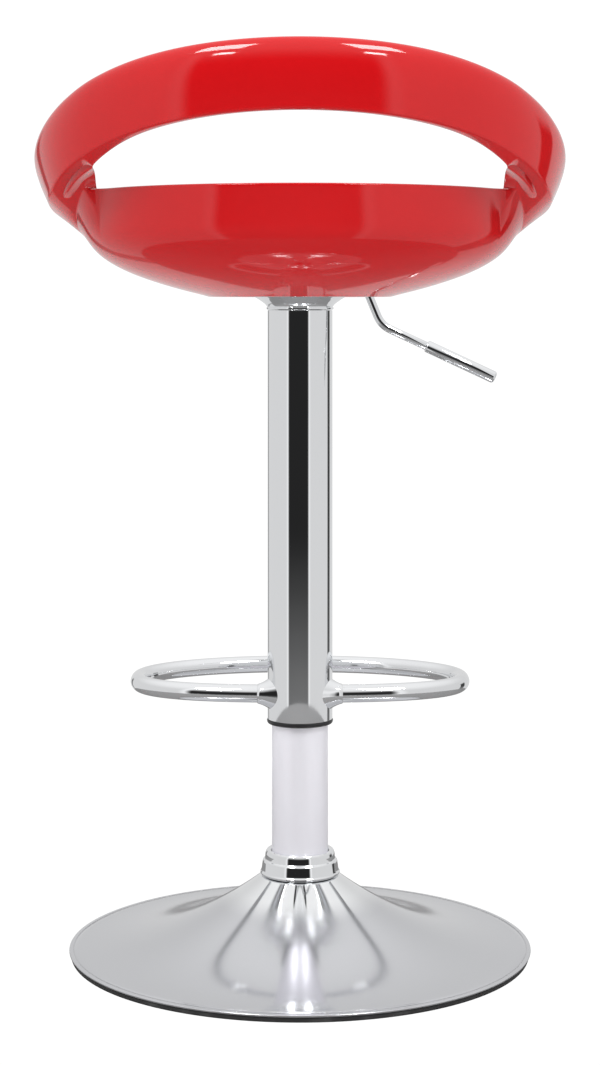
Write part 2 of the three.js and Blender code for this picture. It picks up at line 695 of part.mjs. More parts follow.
function leverRod() {
  const back = gripStart.clone().sub(gripTip).setLength(lever.tipWall);
  const path = filleted([
    new THREE.Vector3(2, 0, leverZ), knee, elbow, gripTip.clone().add(back),
  ], lever.bend);
  const boss = crossBar(lever.bossRadius, lever.bossWidth);
  const rodWithBoss = join(along(path, lever.radius, 36, 8), boss);
  return cut(rodWithBoss, crossBar(pin.radius + gap, 2 * lever.bossWidth));
}

function leverGrip() {
  // Sleeve over the rod's end, closed and rounded at its tip.
  const length = gripStart.distanceTo(gripTip);
  const tilt = Math.atan2(gripStart.z - gripTip.z, gripStart.x - gripTip.x);
  const bore = lever.radius + gap;
  const r = lever.gripRadius;
  const roof = length - lever.tipWall + gap;
  const sleeve = turned([
    [bore, 0], [r - 0.8, 0], [r, 0.8], [r, length - 1.6], [r - 1.6, length], [0, length],
    [0, roof], [bore, roof], [bore, 0],
  ], 20);
  sleeve.rotateY(-Math.PI / 2);
  sleeve.rotateY(-tilt);
  return sleeve.translate(gripStart.x, 0, gripStart.z);
}

function leverGroup() {
  const group = new THREE.Group();
  place(group, 'lever_rod', leverRod(), chrome);
  place(group, 'lever_grip', leverGrip(), chrome);
  return group;
}

function buttonGroup() {
  const top = leverZ - lever.radius - button.lift;
  const { radius, length, chamfer } = button;
  const group = new THREE.Group();
  place(group, 'valve_button', turned([
    [0, top - length], [radius, top - length], [radius, top - chamfer],
    [radius - chamfer, top], [0, top],
  ], 20), steel);
  return group;
}

stool.add(baseGroup(), spindleGroup(), columnGroup(), seatGroup(), leverGroup(), buttonGroup());
export default stool;
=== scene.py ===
"""Adjustable swivel stool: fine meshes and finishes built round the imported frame."""

import json
import logging
import math
from collections.abc import Callable, Sequence
from dataclasses import dataclass, field
from enum import Enum

import bpy
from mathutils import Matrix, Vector


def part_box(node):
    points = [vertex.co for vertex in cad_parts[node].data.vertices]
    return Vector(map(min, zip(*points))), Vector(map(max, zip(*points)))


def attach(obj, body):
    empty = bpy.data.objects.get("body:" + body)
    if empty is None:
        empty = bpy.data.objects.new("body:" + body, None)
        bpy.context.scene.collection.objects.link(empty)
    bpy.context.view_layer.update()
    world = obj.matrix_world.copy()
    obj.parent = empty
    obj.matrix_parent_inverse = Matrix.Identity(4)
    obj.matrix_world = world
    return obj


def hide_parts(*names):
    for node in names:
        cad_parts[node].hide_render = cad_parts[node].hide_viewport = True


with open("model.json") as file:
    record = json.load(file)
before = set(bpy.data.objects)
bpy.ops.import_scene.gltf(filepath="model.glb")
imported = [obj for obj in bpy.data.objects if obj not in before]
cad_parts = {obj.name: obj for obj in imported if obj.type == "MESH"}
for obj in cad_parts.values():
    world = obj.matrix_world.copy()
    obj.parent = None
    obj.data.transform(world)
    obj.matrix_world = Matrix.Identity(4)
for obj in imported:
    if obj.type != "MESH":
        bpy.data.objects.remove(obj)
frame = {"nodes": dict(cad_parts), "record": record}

LOG = logging.getLogger("stool")
MM = 0.001
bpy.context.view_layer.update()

Point2 = tuple[float, float]
Colour = tuple[float, float, float]
Scale3 = tuple[float, float, float]


class Slot(Enum):
    """Material slots of the record."""

    CHROME = "chrome"
    SATIN = "satin_chrome"
    STEEL = "plain_steel"
    ZINC = "zinc"
    BLACK_STEEL = "black_steel"
    BRASS = "brass"
    IRON = "cast_iron"
    RUBBER = "rubber"
    PLASTIC = "black_plastic"
    RED = "red_abs"


class Body(Enum):
    """Bodies of the frame that the fine pieces ride on."""

    BASE = "base"
    COLUMN = "column"
    LEVER = "lever"


# ---------------------------------------------------------------- shader maths


class Value:
    """A shader socket with arithmetic: every operator adds one Math node."""

    def __init__(self, sheet: "NodeSheet", socket: bpy.types.NodeSocket) -> None:
        """Wraps a socket.

        Args:
            sheet: the node sheet that the socket is on.
            socket: the output socket to wrap.
        """
        self.sheet = sheet
        self.socket = socket

    def _math(self, operation: str, *operands: "Value | float") -> "Value":
        """Adds a Math node.

        Args:
            operation: the Math node's operation.
            operands: its inputs in order.

        Returns:
            The node's result.
        """
        inputs = dict(enumerate(operands))
        return self.sheet.node("ShaderNodeMath", {"operation": operation}, inputs)

    def __add__(self, other: "Value | float") -> "Value":
        """Sum."""
        return self._math("ADD", self, other)

    def __radd__(self, other: float) -> "Value":
        """Sum with a number on the left."""
        return self._math("ADD", other, self)

    def __sub__(self, other: "Value | float") -> "Value":
        """Difference."""
        return self._math("SUBTRACT", self, other)

    def __rsub__(self, other: float) -> "Value":
        """Difference with a number on the left."""
        return self._math("SUBTRACT", other, self)

    def __mul__(self, other: "Value | float") -> "Value":
        """Product."""
        return self._math("MULTIPLY", self, other)

    def __rmul__(self, other: float) -> "Value":
        """Product with a number on the left."""
        return self._math("MULTIPLY", other, self)

    def at_most(self, other: "Value | float") -> "Value":
        """The smaller of the two."""
        return self._math("MINIMUM", self, other)

    def at_least(self, other: "Value | float") -> "Value":
        """The larger of the two."""
        return self._math("MAXIMUM", self, other)

    def ramp(self, low: float, high: float, start: float = 0.0, end: float = 1.0) -> "Value":
        """Smooth rise from start to end as the value goes from low to high.

        Args:
            low: value where the rise begins.
            high: value where it ends.
            start: result at low.
            end: result at high.

        Returns:
            The eased value.
        """
        settings = {"interpolation_type": "SMOOTHSTEP"}
        inputs = {"Value": self, "From Min": low, "From Max": high, "To Min": start, "To Max": end}
        return self.sheet.node("ShaderNodeMapRange", settings, inputs)


class NodeSheet:
    """A node tree that is written by calls instead of by hand."""

    def __init__(self, tree: bpy.types.NodeTree) -> None:
        """Empties the tree.

        Args:
            tree: the node tree to fill.
        """
        self.tree = tree
        tree.nodes.clear()

    def node(
        self,
        kind: str,
        settings: dict[str, object] | None = None,
        inputs: dict[str | int, object] | None = None,
        output: str | int = 0,
    ) -> Value:
        """Adds one node.

        Args:
            kind: the node's type name.
            settings: properties set before its sockets; a ramp's stops come as "stops".
            inputs: values or Values of its sockets, by name or number.
            output: the output socket to hand back, by name or number.

        Returns:
            The chosen output.
        """
        made = self.tree.nodes.new(kind)
        for key, value in (settings or {}).items():
            if key == "stops":
                self._stops(made.color_ramp, value)
            else:
                setattr(made, key, value)
        for key, value in (inputs or {}).items():
            if isinstance(value, Value):
                self.tree.links.new(value.socket, made.inputs[key])
            else:
                made.inputs[key].default_value = value
        return Value(self, made.outputs[output])

    @staticmethod
    def _stops(ramp: bpy.types.ColorRamp, stops: Sequence[tuple[float, Sequence[float]]]) -> None:
        """Sets a colour ramp's stops.

        Args:
            ramp: the ramp to fill.
            stops: position and colour of each stop, first to last.
        """
        while len(ramp.elements) < len(stops):
            ramp.elements.new(0.5)
        for element, (position, colour) in zip(ramp.elements, stops):
            element.position = position
            element.color = (*colour, 1.0)

    def place(self) -> Value:
        """The point on the object, in metres."""
        return self.node("ShaderNodeTexCoord", output="Object")

    def stretched(self, scale: Sequence[float]) -> Value:
        """The point on the object, scaled along each axis.

        Args:
            scale: factors for X, Y and Z.

        Returns:
            The scaled point.
        """
        settings = {"operation": "MULTIPLY"}
        return self.node("ShaderNodeVectorMath", settings, {0: self.place(), 1: tuple(scale)})

    def noise(self, scale: float, detail: float = 2.0, at: Value | None = None) -> Value:
        """Smooth noise.

        Args:
            scale: noise cells per metre.
            detail: octaves.
            at: where to read it; the point on the object if left out.

        Returns:
            A value from 0 to 1.
        """
        inputs = {"Vector": at or self.place(), "Scale": scale, "Detail": detail}
        return self.node("ShaderNodeTexNoise", {"noise_dimensions": "3D"}, inputs, "Fac")

    def tint(self, factor: Value, first: Colour, second: Colour) -> Value:
        """A mix of two colours.

        Args:
            factor: 0 for the first colour, 1 for the second.
            first: the first colour.
            second: the second colour.

        Returns:
            The mixed colour.
        """
        inputs = {"Factor": factor, 6: (*first, 1.0), 7: (*second, 1.0)}
        return self.node("ShaderNodeMix", {"data_type": "RGBA"}, inputs, 2)

    def bump(self, height: Value, strength: float, distance: float) -> Value:
        """A normal from a height.

        Args:
            height: the height.
            strength: how much of it shows.
            distance: metres for a height of 1.

        Returns:
            The normal.
        """
        inputs = {"Height": height, "Strength": strength, "Distance": distance}
        return self.node("ShaderNodeBump", None, inputs)

    def surface(self, **inputs: object) -> None:
        """Ends the sheet in a Principled shader.

        Args:
            inputs: its sockets, with underscores for spaces.
        """
        named = {key.replace("_", " "): value for key, value in inputs.items()}
        shader = self.node("ShaderNodeBsdfPrincipled", None, named)
        self.node_output(shader)

    def node_output(self, shader: Value, kind: str = "ShaderNodeOutputMaterial") -> None:
        """Links a shader to the tree's output node."""
        made = self.tree.nodes.new(kind)
        self.tree.links.new(shader.socket, made.inputs["Surface"])


def new_material(name: str) -> tuple[bpy.types.Material, NodeSheet]:
    """An empty material and its sheet.

    Args:
        name: the material's name.

    Returns:
        The material and its node sheet.
    """
    material = bpy.data.materials.new(name)
    material.use_nodes = True
    return material, NodeSheet(material.node_tree)


# ---------------------------------------------------------------- finishes


@dataclass(frozen=True)
class ChromePlate:
    """Bright chrome with faint wiping marks and a soft waviness of the sheet under it."""

    name: str
    colour: Colour = (0.86, 0.87, 0.885)
    gloss: float = 0.035
    smear: float = 0.06
    wave: float = 0.08
    metallic: float = 1.0

    def material(self) -> bpy.types.Material:
        """Builds the finish."""
        made, sheet = new_material(self.name)
        wipe = sheet.noise(14.0, 4.0, sheet.stretched((1.0, 1.0, 0.35)))
        dust = sheet.noise(420.0, 2.0)
        haze = wipe.ramp(0.45, 0.75) * 0.8 + dust.ramp(0.62, 0.8) * 0.2
        dull = tuple(0.94 * c for c in self.colour)
        sheet.surface(
            Base_Color=sheet.tint(haze, self.colour, dull),
            Metallic=self.metallic,
            Roughness=haze * self.smear + self.gloss,
            Normal=sheet.bump(sheet.noise(22.0, 1.0), self.wave, 0.0006),
        )
        return made


@dataclass(frozen=True)
class SpunChrome:
    """Chrome that is mirror bright by the hub and softer out on the spun flank."""

    name: str
    colour: Colour = (0.64, 0.645, 0.67)
    hub_colour: Colour = (0.86, 0.87, 0.88)
    bright_to: float = 0.05
    soft_from: float = 0.075
    soft: float = 0.09

    def material(self) -> bpy.types.Material:
        """Builds the finish."""
        made, sheet = new_material(self.name)
        flat = sheet.stretched((1.0, 1.0, 0.0))
        radius = sheet.node("ShaderNodeVectorMath", {"operation": "LENGTH"}, {0: flat}, "Value")
        out = radius.ramp(self.bright_to, self.soft_from)
        wipe = sheet.noise(14.0, 4.0)
        sheet.surface(
            Base_Color=sheet.tint(out - wipe * 0.08, self.hub_colour, self.colour),
            Metallic=1.0,
            Roughness=out * self.soft + wipe * 0.03 + 0.03,
            Normal=sheet.bump(wipe, 0.05, 0.0004),
        )
        return made


@dataclass(frozen=True)
class MouldedGloss:
    """High-gloss moulded plastic: deep colour, a clear skin and slight flow waviness."""

    name: str
    colour: Colour
    shade: Colour
    gloss: float = 0.07
    wave: float = 0.05

    def material(self) -> bpy.types.Material:
        """Builds the finish."""
        made, sheet = new_material(self.name)
        flow = sheet.noise(7.0, 3.0)
        fine = sheet.noise(260.0, 2.0)
        scuff = sheet.noise(38.0, 5.0).ramp(0.58, 0.78)
        sheet.surface(
            Base_Color=sheet.tint(flow.ramp(0.3, 0.7), self.colour, self.shade),
            Roughness=scuff * 0.05 + self.gloss,
            Coat_Weight=0.15,
            Coat_Roughness=0.03,
            IOR=1.46,
            Normal=sheet.bump(flow * 0.8 + fine * 0.02, self.wave, 0.002),
        )
        return made


@dataclass(frozen=True)
class TurnedMetal:
    """Bare or plated metal with the fine lines of turning or drawing."""

    name: str
    colour: Colour
    dark: Colour
    roughness: float = 0.34
    lines: Scale3 = (6.0, 6.0, 900.0)

    def material(self) -> bpy.types.Material:
        """Builds the finish."""
        made, sheet = new_material(self.name)
        line = sheet.noise(3.0, 3.0, sheet.stretched(self.lines))
        stain = sheet.noise(55.0, 4.0).ramp(0.4, 0.7)
        sheet.surface(
            Base_Color=sheet.tint(line * 0.5 + stain * 0.5, self.colour, self.dark),
            Metallic=1.0,
            Roughness=stain * 0.14 + line * 0.1 + self.roughness,
            Normal=sheet.bump(line, 0.25, 0.0002),
        )
        return made


@dataclass(frozen=True)
class GrainedCoat:
    """A grained coat or moulding: rubber, nylon, powder paint or cast skin."""

    name: str
    colour: Colour
    pale: Colour
    roughness: float
    grain: float
    depth: float
    metallic: float = 0.0

    def material(self) -> bpy.types.Material:
        """Builds the finish."""
        made, sheet = new_material(self.name)
        peel = sheet.noise(self.grain, 3.0)
        wear = sheet.noise(34.0, 4.0).ramp(0.5, 0.8)
        sheet.surface(
            Base_Color=sheet.tint(wear, self.colour, self.pale),
            Metallic=self.metallic,
            Roughness=wear * 0.12 + self.roughness,
            Normal=sheet.bump(peel, 0.5, self.depth),
        )
        return made


def finishes() -> dict[Slot, bpy.types.Material]:
    """Builds the material of every slot.

    Returns:
        Each slot's material.
    """
    made = {
        Slot.CHROME: ChromePlate("bright_chrome"),
        Slot.SATIN: ChromePlate("satin_chrome", (0.84, 0.83, 0.88), 0.36, 0.06, 0.03, 0.3),
        Slot.STEEL: TurnedMetal("plain_steel", (0.56, 0.57, 0.58), (0.36, 0.36, 0.37)),
        Slot.ZINC: TurnedMetal("zinc_plate", (0.70, 0.71, 0.69), (0.50, 0.50, 0.46), 0.28),
        Slot.BRASS: TurnedMetal("turned_brass", (0.73, 0.56, 0.25), (0.5, 0.36, 0.14), 0.26),
        Slot.BLACK_STEEL: GrainedCoat(
            "black_powder_coat", (0.018, 0.018, 0.02), (0.035, 0.035, 0.037), 0.38, 900.0, 0.0002),
        Slot.IRON: GrainedCoat(
            "cast_iron_skin", (0.075, 0.075, 0.08), (0.13, 0.12, 0.11), 0.62, 420.0, 0.0006, 0.7),
        Slot.RUBBER: GrainedCoat(
            "black_rubber", (0.022, 0.022, 0.023), (0.06, 0.06, 0.06), 0.66, 700.0, 0.0002),
        Slot.PLASTIC: GrainedCoat(
            "black_nylon", (0.012, 0.012, 0.013), (0.022, 0.022, 0.024), 0.32, 1100.0, 0.00008),
        Slot.RED: MouldedGloss("red_moulding", (0.505, 0.006, 0.008), (0.485, 0.005, 0.007)),
    }
    return {slot: finish.material() for slot, finish in made.items()}


# ---------------------------------------------------------------- mesh building


def rounded(corners: Sequence[tuple[float, float, float]], steps: int = 4) -> list[Point2]:
    """A closed outline whose corners are eased by arcs.

    Args:
        corners: x, y and easing radius of each corner, in order round the outline.
        steps: segments in each arc.

    Returns:
        The outline's points.
    """
    outline: list[Point2] = []
    count = len(corners)
    for i, (x, y, radius) in enumerate(corners):
        if radius <= 0:
            outline.append((x, y))
            continue
        here = Vector((x, y))
        before = Vector(corners[i - 1][:2]) - here
        after = Vector(corners[(i + 1) % count][:2]) - here
        reach = min(radius, before.length * 0.49, after.length * 0.49)
        start = here + before.normalized() * reach
        end = here + after.normalized() * reach
        for k in range(steps + 1):
            t = k / steps
            point = start.lerp(here, t).lerp(here.lerp(end, t), t)
            outline.append((point.x, point.y))
    return outline


class MeshMaker:
    """Makes meshes from outlines and paths, and sets pieces on their bodies."""

    def __init__(self, looks: dict[Slot, bpy.types.Material]) -> None:
        """Keeps the finishes that pieces are dressed in.

        Args:
            looks: the material of each slot.
        """
        self.looks = looks

    @staticmethod
    def mesh(
        name: str, points: Sequence[Vector], faces: Sequence[Sequence[int]]
    ) -> bpy.types.Object:
        """A smooth-shaded object from points and faces.

        Args:
            name: the object's name.
            points: its vertices, in metres.
            faces: vertex numbers of each face.

        Returns:
            The object, linked to the scene.
        """
        data = bpy.data.meshes.new(name)
        data.from_pydata([tuple(p) for p in points], [], [list(f) for f in faces])
        data.validate()
        data.update()
        for face in data.polygons:
            face.use_smooth = True
        made = bpy.data.objects.new(name, data)
        bpy.context.scene.collection.objects.link(made)
        return made

    @staticmethod
    def bands(count: int, sides: int) -> list[Sequence[int]]:
        """Faces between rings of points that follow each other.

        Args:
            count: how many rings there are.
            sides: points in each ring.

        Returns:
            The faces, without end caps.
        """
        return [
            (i * sides + k, i * sides + (k + 1) % sides,
             (i + 1) * sides + (k + 1) % sides, (i + 1) * sides + k)
            for i in range(count - 1)
            for k in range(sides)
        ]

    @staticmethod
    def caps(count: int, sides: int) -> list[Sequence[int]]:
        """The two end faces of a bar made of rings of points."""
        return [tuple(reversed(range(sides))), tuple(range((count - 1) * sides, count * sides))]

    def turned(self, name: str, outline: Sequence[Point2], segments: int = 128) -> bpy.types.Object:
        """A ring turned about Z from a closed outline of (radius, z).

        Args:
            name: the object's name.
            outline: the outline, anticlockwise with the radius to the right.
            segments: facets round it.

        Returns:
            The object.
        """
        count = len(outline)
        points = [
            Vector((r * math.cos(a), r * math.sin(a), z))
            for a in (2 * math.pi * i / segments for i in range(segments))
            for r, z in outline
        ]
        faces = [
            (i * count + j, (i + 1) % segments * count + j,
             (i + 1) % segments * count + (j + 1) % count, i * count + (j + 1) % count)
            for i in range(segments)
            for j in range(count)
        ]
        return self.mesh(name, points, faces)

    def swept(
        self, name: str, path: Sequence[Vector], radius: float, up: Vector, sides: int = 32
    ) -> bpy.types.Object:
        """A round bar along a flat path, closed at both ends.

        Args:
            name: the object's name.
            path: centre points.
            radius: the bar's radius.
            up: a direction square to the path's plane.
            sides: facets round the bar.

        Returns:
            The object.
        """
        count = len(path)
        points: list[Vector] = []
        for i, centre in enumerate(path):
            ahead = path[i + 1] if i + 1 < count else centre
            behind = path[i - 1] if i else centre
            side = (ahead - behind).normalized().cross(up).normalized()
            points += [
                centre + (side * math.cos(a) + up * math.sin(a)) * radius
                for a in (2 * math.pi * k / sides for k in range(sides))
            ]
        return self.mesh(name, points, [*self.bands(count, sides), *self.caps(count, sides)])

    def settle(
        self, piece: bpy.types.Object, slot: Slot, body: Body, *nodes: str
    ) -> bpy.types.Object:
        """Dresses a piece, puts it on its body and lets it stand for CAD nodes.

        Args:
            piece: the piece.
            slot: its material slot.
            body: the body it rides on.
            nodes: the CAD nodes that it stands for.

        Returns:
            The piece.
        """
        piece.data.materials.clear()
        piece.data.materials.append(self.looks[slot])
        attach(piece, body.value)
        if nodes:
            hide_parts(*nodes)
        LOG.info("%s rides on %s", piece.name, body.value)
        return piece


def extent(node: str) -> tuple[Vector, Vector]:
    """Lowest and highest corner of a CAD node at rest."""
    low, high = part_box(node)
    return Vector(low), Vector(high)


# ---------------------------------------------------------------- base


@dataclass
class TrumpetBase:
    """Spun trumpet foot with its floor ring and collar."""

    maker: MeshMaker
    hub_radius: float = 35.2 * MM
    fall: float = 2.1
    sheet: float = 2.0 * MM
    tube_radius: float = field(default_factory=lambda: extent("stand_tube")[1].x)
    radius: float = field(default_factory=lambda: extent("base_cover")[1].x)
    hub_z: float = field(default_factory=lambda: extent("base_cover")[1].z - 1.0 * MM)
    rim_z: float = 7.0 * MM

    def height(self, radius: float) -> float:
        """Height of the upper face at a radius."""
        share = (radius - self.hub_radius) / (self.radius - self.hub_radius)
        return self.rim_z + (self.hub_z - self.rim_z) * (1 - share) ** self.fall

    def slope(self, start: float, end: float, drop: float, count: int) -> list[Point2]:
        """Points down the trumpet's flank.

        Args:
            start: first radius.
            end: last radius.
            drop: depth below the upper face.
            count: segments.

        Returns:
            The points.
        """
        radii = [start + (end - start) * (i / count) ** 1.3 for i in range(count + 1)]
        return [(r, self.height(r) - drop) for r in radii]

    def build(self) -> None:
        """Makes the foot, the floor ring and the collar."""
        self.build_cover()
        self.build_floor_ring()
        self.build_collar()

    def build_cover(self) -> None:
        """The spun sheet, with a rolled lip that turns down over the floor ring."""
        low = extent("base_cover")[0].z
        neck = self.tube_radius + 0.3 * MM
        rim = self.radius
        top = self.slope(self.hub_radius, rim - 5 * MM, 0.0, 46)
        under = self.slope(self.hub_radius, rim - 6 * MM, self.sheet, 24)
        lip = rounded([
            (rim - 3 * MM, low, 0.5 * MM), (rim - 0.9 * MM, low, 0.7 * MM),
            (rim, low + 1.2 * MM, 0.8 * MM), (rim - 0.2 * MM, self.rim_z - 0.6 * MM, 1.6 * MM),
            (rim - 4.2 * MM, self.height(rim - 4.2 * MM), 1.2 * MM),
        ], 5)
        hub = [(neck + 4 * MM, self.hub_z + MM), (neck, self.hub_z + MM), (neck, self.hub_z - MM)]
        outline = [*lip, *reversed(top), *hub, *under]
        piece = self.maker.turned("base_cover_fine", outline, 192)
        self.maker.settle(piece, Slot.CHROME, Body.BASE, "base_cover")
        piece.data.materials[0] = SpunChrome("spun_chrome").material()

    def build_floor_ring(self) -> None:
        """The soft ring that the foot stands on."""
        low, high = extent("floor_ring")
        outer, width = high.x, 13 * MM
        outline = rounded([
            (outer - width, low.z, 0.6 * MM), (outer - 0.6 * MM, low.z, 0.8 * MM),
            (outer, low.z + 1.2 * MM, 0.8 * MM), (outer, high.z, 0.4 * MM),
            (outer - width, high.z, 0.4 * MM),
        ])
        piece = self.maker.turned("floor_ring_fine", outline, 160)
        self.maker.settle(piece, Slot.RUBBER, Body.BASE, "floor_ring")

    def build_collar(self) -> None:
        """The bright collar that closes the foot round the stand tube."""
        low, high = extent("base_collar")
        bore = self.tube_radius + 0.35 * MM
        foot, tube = high.x, self.tube_radius
        outline = rounded([
            (bore, low.z, 0.0), (foot - 0.6 * MM, low.z, 0.5 * MM),
            (foot, low.z + 1.6 * MM, 0.9 * MM), (foot - 1.2 * MM, low.z + 3.2 * MM, 1.2 * MM),
            (tube + 8.2 * MM, low.z + 11.6 * MM, 1.5 * MM),
            (tube + 7.6 * MM, low.z + 12.6 * MM, 0.6 * MM),
            (tube + 6.2 * MM, low.z + 13.4 * MM, 0.6 * MM),
            (tube + 5.8 * MM, high.z - 3 * MM, 2.6 * MM), (tube + 4.4 * MM, high.z, 2.4 * MM),
            (tube + 1.6 * MM, high.z, 1.0 * MM), (bore, high.z - 1.6 * MM, 0.8 * MM),
        ], 6)
        piece = self.maker.turned("base_collar_fine", outline, 128)
        self.maker.settle(piece, Slot.CHROME, Body.BASE, "base_collar")


# ---------------------------------------------------------------- column


@dataclass
class Column:
    """Stand tube, telescoping cover tube, its glide ring and the bell under the seat."""

    maker: MeshMaker

    def build(self) -> None:
        """Makes every tube of the column."""
        self.build_tube("stand_tube", 1.5 * MM, Slot.SATIN, Body.BASE)
        self.build_tube("cover_tube", 1.5 * MM, Slot.CHROME, Body.COLUMN)
        self.build_glide_ring()
        self.build_bell()

    def build_tube(self, node: str, wall: float, slot: Slot, body: Body) -> None:
        """A plain tube with deburred ends.

        Args:
            node: the CAD node it stands for.
            wall: wall thickness.
            slot: its finish.
            body: the body it rides on.
        """
        low, high = extent(node)
        edge = 0.45 * MM
        outline = rounded([
            (high.x - wall, low.z, edge), (high.x, low.z, edge),
            (high.x, high.z, edge), (high.x - wall, high.z, edge),
        ])
        piece = self.maker.turned(f"{node}_fine", outline, 128)
        self.maker.settle(piece, slot, body, node)

    def build_glide_ring(self) -> None:
        """The black ring that guides the cover tube on the stand tube."""
        low, high = extent("glide_ring")
        tube_low = extent("cover_tube")[0].z
        bore = extent("stand_tube")[1].x + 0.4 * MM
        inner = extent("cover_tube")[1].x - 1.8 * MM
        outline = rounded([
            (bore + 0.6 * MM, low.z, 0.5 * MM), (high.x - 1.4 * MM, low.z, 1.2 * MM),
            (high.x, low.z + 1.6 * MM, 1.0 * MM), (high.x, tube_low - 0.3 * MM, 0.4 * MM),
            (inner, tube_low - 0.3 * MM, 0.2 * MM), (inner, high.z, 0.4 * MM),
            (bore, high.z, 0.4 * MM), (bore, low.z + 0.8 * MM, 0.4 * MM),
        ])
        piece = self.maker.turned("glide_ring_fine", outline, 128)
        self.maker.settle(piece, Slot.PLASTIC, Body.COLUMN, "glide_ring")

    def build_bell(self) -> None:
        """The flared bell, with its bead, that closes the cover tube under the seat."""
        low, high = extent("top_bell")
        tube = extent("cover_tube")[1].x
        z, top, mouth = low.z, high.z, high.x
        outline = rounded([
            (tube - 1.2 * MM, z, 0.0), (tube - 0.3 * MM, z, 0.3 * MM),
            (tube + 1.0 * MM, z + 0.3 * MM, 0.8 * MM), (tube + 1.0 * MM, z + 2.0 * MM, 0.8 * MM),
            (tube + 0.3 * MM, z + 2.7 * MM, 0.6 * MM), (tube + 2.0 * MM, z + 5.0 * MM, 1.6 * MM),
            (tube + 8.0 * MM, z + 9.3 * MM, 2.5 * MM), (mouth, top, 0.5 * MM),
            (mouth - 3.4 * MM, top, 0.5 * MM), (tube + 4.0 * MM, z + 8.6 * MM, 1.5 * MM),
            (tube - 1.2 * MM, z + 4.0 * MM, 1.5 * MM),
        ], 5)
        piece = self.maker.turned("top_bell_fine", outline, 128)
        self.maker.settle(piece, Slot.CHROME, Body.COLUMN, "top_bell")


@dataclass
class Footrest:
    """Half-moon hoop and the two pressed flares that hold it on the cover tube."""

    maker: MeshMaker
    tube: float = 8 * MM
    rear: float = 8 * MM
    centre_y: float = -68 * MM
    reach: float = 157 * MM
    half_width: float = 148 * MM
    squareness: float = 0.78
    flare_length: float = 9 * MM

    # Share of a flare's length from the cover tube, and its radius there in millimetres.
    FLARE_PROFILE = ((0.0, 13.2), (0.25, 11.6), (0.5, 10.3), (0.75, 9.3), (0.95, 8.7), (1.0, 8.2))

    def point(self, turn: float) -> Vector:
        """Centre of the hoop's bar; turn runs from 0 to 1, starting behind the column."""
        angle = math.pi / 2 + turn * 2 * math.pi
        c, s = math.cos(angle), math.sin(angle)
        square = self.squareness if s > 0 else 1.0
        depth = self.rear - self.centre_y if s > 0 else self.reach + self.centre_y
        x = self.half_width * math.copysign(abs(c) ** square, c)
        y = self.centre_y + depth * math.copysign(abs(s) ** square, s)
        low, high = extent("footrest_hoop")
        return Vector((x, y, (low.z + high.z) / 2))

    def build(self) -> None:
        """Makes the hoop and its flares."""
        barrel = extent("cover_tube")[1].x
        start = self.turn_at(barrel - 1.5 * MM)
        count = 220
        turns = [start + (1 - 2 * start) * i / count for i in range(count + 1)]
        path = [self.point(turn) for turn in turns]
        hoop = self.maker.swept("footrest_hoop_fine", path, self.tube, Vector((0, 0, 1)), 40)
        self.maker.settle(hoop, Slot.CHROME, Body.COLUMN, "footrest_hoop")
        for name, sign in (("footrest_weld_left", 1), ("footrest_weld_right", -1)):
            self.build_flare(name, sign, barrel)

    def turn_at(self, x: float) -> float:
        """Share of the turn at which the bar leaves a half-width of x."""
        low, high = 0.0, 0.2
        for _ in range(40):
            middle = (low + high) / 2
            low, high = (middle, high) if abs(self.point(middle).x) < x else (low, middle)
        return low

    def build_flare(self, node: str, sign: int, barrel: float) -> None:
        """One pressed flare, from the tube's wall to the bar.

        Args:
            node: the CAD node it stands for.
            sign: 1 on the sitter's left, -1 on the right.
            barrel: radius of the cover tube.
        """
        centre = self.point(0.0).z
        sides, points = 48, []
        for share, radius in self.FLARE_PROFILE:
            for k in range(sides):
                a = 2 * math.pi * k / sides
                y = self.rear + radius * MM * math.cos(a)
                z = centre + radius * MM * math.sin(a)
                foot = math.sqrt(max(barrel**2 - y**2, 0.0))
                x = foot + (barrel + self.flare_length - foot) * share
                points.append(Vector((sign * x, y, z)))
        faces = self.maker.bands(len(self.FLARE_PROFILE), sides)
        faces = [f if sign > 0 else tuple(reversed(f)) for f in faces]
        piece = self.maker.mesh(f"{node}_fine", points, faces)
        self.maker.settle(piece, Slot.CHROME, Body.COLUMN, node)


# ---------------------------------------------------------------- seat


def ease(value: float, low: float, high: float) -> float:
    """Smooth rise from 0 at low to 1 at high."""
    share = held((value - low) / (high - low))
    return share * share * (3 - 2 * share)


def held(value: float, low: float = 0.0, high: float = 1.0) -> float:
    """The value, kept between two bounds."""
    return min(max(value, low), high)


def mixed(first: float, second: float, share: float) -> float:
    """The number that lies a share of the way from the first to the second."""
    return first + (second - first) * share


